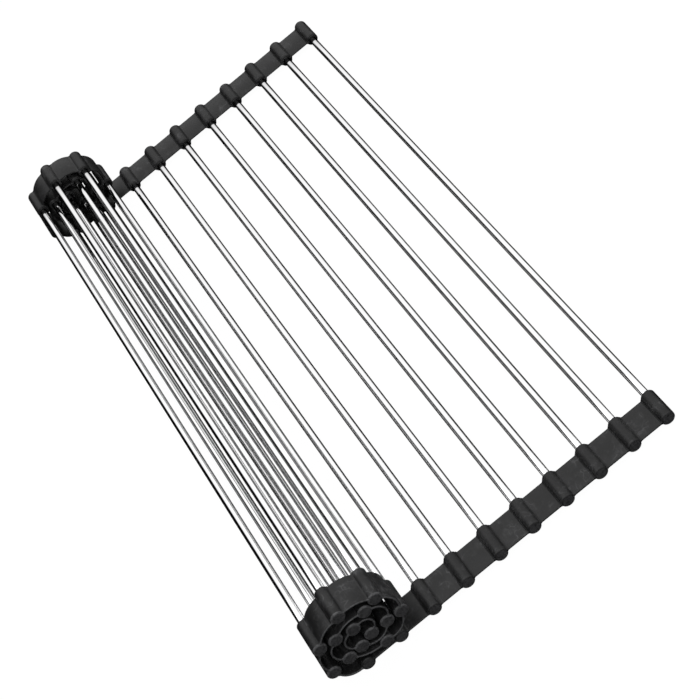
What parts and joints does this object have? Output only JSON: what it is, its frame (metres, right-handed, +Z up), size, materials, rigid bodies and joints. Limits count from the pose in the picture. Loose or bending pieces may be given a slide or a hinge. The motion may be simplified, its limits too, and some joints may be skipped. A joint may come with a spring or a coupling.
{
  "type": "roll up dish drying rack",
  "caption": "Roll up rack of round steel tubes held side by side by two bending rubber strips, half rolled into a loose coil at one end.",
  "frame": {"origin": "middle of the footprint, on the worktop", "axes": "+X along the side strips towards the flat end, +Y along the tubes, +Z up"},
  "size_m": [0.2016, 0.44, 0.0459],
  "materials": {
    "tube": "polished stainless steel",
    "strip": "satin black silicone rubber"
  },
  "bodies": {
    "rod_01": {"far_link_01": "strip", "near_link_01": "strip", "tube_01": "tube"},
    "rod_02": {"far_link_02": "strip", "near_link_02": "strip", "tube_02": "tube"},
    "rod_03": {"far_link_03": "strip", "near_link_03": "strip", "tube_03": "tube"},
    "rod_04": {"far_link_04": "strip", "near_link_04": "strip", "tube_04": "tube"},
    "rod_05": {"far_link_05": "strip", "near_link_05": "strip", "tube_05": "tube"},
    "rod_06": {"far_link_06": "strip", "near_link_06": "strip", "tube_06": "tube"},
    "rod_07": {"far_link_07": "strip", "near_link_07": "strip", "tube_07": "tube"},
    "rod_08": {"far_link_08": "strip", "near_link_08": "strip", "tube_08": "tube"},
    "rod_09": {"far_link_09": "strip", "near_link_09": "strip", "tube_09": "tube"},
    "rod_10": {"far_link_10": "strip", "near_link_10": "strip", "tube_10": "tube"},
    "rod_11": {"far_link_11": "strip", "near_link_11": "strip", "tube_11": "tube"},
    "rod_12": {"far_link_12": "strip", "near_link_12": "strip", "tube_12": "tube"},
    "rod_13": {"far_link_13": "strip", "near_link_13": "strip", "tube_13": "tube"},
    "rod_14": {"far_link_14": "strip", "near_link_14": "strip", "tube_14": "tube"},
    "rod_15": {"near_link_15": "strip", "tube_and_far_link_15": "strip"},
    "rod_16": {"near_link_16": "strip", "tube_and_far_link_16": "strip"},
    "rod_17": {"near_link_17": "strip", "tube_and_far_link_17": "strip"},
    "rod_18": {"near_link_18": "strip", "tube_and_far_link_18": "strip"},
    "rod_19": {"near_link_19": "strip", "tube_and_far_link_19": "strip"},
    "rod_20": {"near_link_20": "strip", "tube_and_far_link_20": "strip"},
    "rod_21": {"near_link_21": "strip", "tube_and_far_link_21": "strip"},
    "rod_22": {"near_link_22": "strip", "tube_and_far_link_22": "strip"},
    "rod_23": {"near_link_23": "strip", "tube_and_far_link_23": "strip"}
  },
  "joints": [
    {"name": "unroll_web_11", "type": "hinge", "parent": "rod_10", "child": "rod_11", "pos_m": [-0.09289, 0, 0.00499], "axis": [0, -1, 0], "range_deg": [0, 73]},
    {"name": "unroll_web_12", "type": "hinge", "parent": "rod_11", "child": "rod_12", "pos_m": [-0.0991, 0, 0.024], "axis": [0, -1, 0], "range_deg": [0, 53]},
    {"name": "unroll_web_13", "type": "hinge", "parent": "rod_12", "child": "rod_13", "pos_m": [-0.08742, 0, 0.04024], "axis": [0, -1, 0], "range_deg": [0, 48]},
    {"name": "unroll_web_14", "type": "hinge", "parent": "rod_13", "child": "rod_14", "pos_m": [-0.06753, 0, 0.04235], "axis": [0, -1, 0], "range_deg": [0, 47]},
    {"name": "unroll_web_15", "type": "hinge", "parent": "rod_14", "child": "rod_15", "pos_m": [-0.05269, 0, 0.02893], "axis": [0, -1, 0], "range_deg": [0, 67]},
    {"name": "unroll_web_16", "type": "hinge", "parent": "rod_15", "child": "rod_16", "pos_m": [-0.059, 0, 0.00996], "axis": [0, -1, 0], "range_deg": [0, 74]},
    {"name": "unroll_web_17", "type": "hinge", "parent": "rod_16", "child": "rod_17", "pos_m": [-0.07901, 0, 0.01], "axis": [0, -1, 0], "range_deg": [0, 40]},
    {"name": "unroll_web_18", "type": "hinge", "parent": "rod_17", "child": "rod_18", "pos_m": [-0.09301, 0, 0.02435], "axis": [0, -1, 0], "range_deg": [0, 105]},
    {"name": "unroll_web_19", "type": "hinge", "parent": "rod_18", "child": "rod_19", "pos_m": [-0.07683, 0, 0.03615], "axis": [0, -1, 0], "range_deg": [0, 51]},
    {"name": "unroll_web_20", "type": "hinge", "parent": "rod_19", "child": "rod_20", "pos_m": [-0.05817, 0, 0.02885], "axis": [0, -1, 0], "range_deg": [0, 109]},
    {"name": "unroll_web_21", "type": "hinge", "parent": "rod_20", "child": "rod_21", "pos_m": [-0.06985, 0, 0.01261], "axis": [0, -1, 0], "range_deg": [0, 88]},
    {"name": "unroll_web_22", "type": "hinge", "parent": "rod_21", "child": "rod_22", "pos_m": [-0.08566, 0, 0.0249], "axis": [0, -1, 0], "range_deg": [0, 133]},
    {"name": "unroll_web_23", "type": "hinge", "parent": "rod_22", "child": "rod_23", "pos_m": [-0.066, 0, 0.02859], "axis": [0, -1, 0], "range_deg": [0, 152]},
    {"name": "roll_up_web_09", "type": "hinge", "parent": "rod_10", "child": "rod_09", "pos_m": [-0.07289, 0, 0.00366], "axis": [0, -1, 0], "range_deg": [0, 2]},
    {"name": "roll_up_web_08", "type": "hinge", "parent": "rod_09", "child": "rod_08", "pos_m": [-0.05289, 0, 0.00447], "axis": [0, -1, 0], "range_deg": [0, 46]},
    {"name": "roll_up_web_07", "type": "hinge", "parent": "rod_08", "child": "rod_07", "pos_m": [-0.03289, 0, 0.00447], "axis": [0, -1, 0], "range_deg": [0, 46]},
    {"name": "roll_up_web_06", "type": "hinge", "parent": "rod_07", "child": "rod_06", "pos_m": [-0.01289, 0, 0.00439], "axis": [0, -1, 0], "range_deg": [0, 42]},
    {"name": "roll_up_web_05", "type": "hinge", "parent": "rod_06", "child": "rod_05", "pos_m": [0.00711, 0, 0.00424], "axis": [0, -1, 0], "range_deg": [0, 34]},
    {"name": "roll_up_web_04", "type": "hinge", "parent": "rod_05", "child": "rod_04", "pos_m": [0.02711, 0, 0.00406], "axis": [0, -1, 0], "range_deg": [0, 24]},
    {"name": "roll_up_web_03", "type": "hinge", "parent": "rod_04", "child": "rod_03", "pos_m": [0.04711, 0, 0.00406], "axis": [0, -1, 0], "range_deg": [0, 24]},
    {"name": "roll_up_web_02", "type": "hinge", "parent": "rod_03", "child": "rod_02", "pos_m": [0.06711, 0, 0.00399], "axis": [0, -1, 0], "range_deg": [0, 20]},
    {"name": "roll_up_web_01", "type": "hinge", "parent": "rod_02", "child": "rod_01", "pos_m": [0.08711, 0, 0.00408], "axis": [0, -1, 0], "range_deg": [0, 25]}
  ],
  "couplings": [
    {"joint": "unroll_web_12", "follows": "unroll_web_11", "ratio": 0.72603},
    {"joint": "unroll_web_13", "follows": "unroll_web_11", "ratio": 0.65753},
    {"joint": "unroll_web_14", "follows": "unroll_web_11", "ratio": 0.64384},
    {"joint": "unroll_web_15", "follows": "unroll_web_11", "ratio": 0.91781},
    {"joint": "unroll_web_16", "follows": "unroll_web_11", "ratio": 1.0137},
    {"joint": "unroll_web_17", "follows": "unroll_web_11", "ratio": 0.54795},
    {"joint": "unroll_web_18", "follows": "unroll_web_11", "ratio": 1.4384},
    {"joint": "unroll_web_19", "follows": "unroll_web_11", "ratio": 0.69863},
    {"joint": "unroll_web_20", "follows": "unroll_web_11", "ratio": 1.4932},
    {"joint": "unroll_web_21", "follows": "unroll_web_11", "ratio": 1.2055},
    {"joint": "unroll_web_22", "follows": "unroll_web_11", "ratio": 1.8219},
    {"joint": "unroll_web_23", "follows": "unroll_web_11", "ratio": 2.0822},
    {"joint": "roll_up_web_09", "follows": "roll_up_web_08", "ratio": 0.043478},
    {"joint": "roll_up_web_07", "follows": "roll_up_web_08", "ratio": 1},
    {"joint": "roll_up_web_06", "follows": "roll_up_web_08", "ratio": 0.91304},
    {"joint": "roll_up_web_05", "follows": "roll_up_web_08", "ratio": 0.73913},
    {"joint": "roll_up_web_04", "follows": "roll_up_web_08", "ratio": 0.52174},
    {"joint": "roll_up_web_03", "follows": "roll_up_web_08", "ratio": 0.52174},
    {"joint": "roll_up_web_02", "follows": "roll_up_web_08", "ratio": 0.43478},
    {"joint": "roll_up_web_01", "follows": "roll_up_web_08", "ratio": 0.54348}
  ]
}
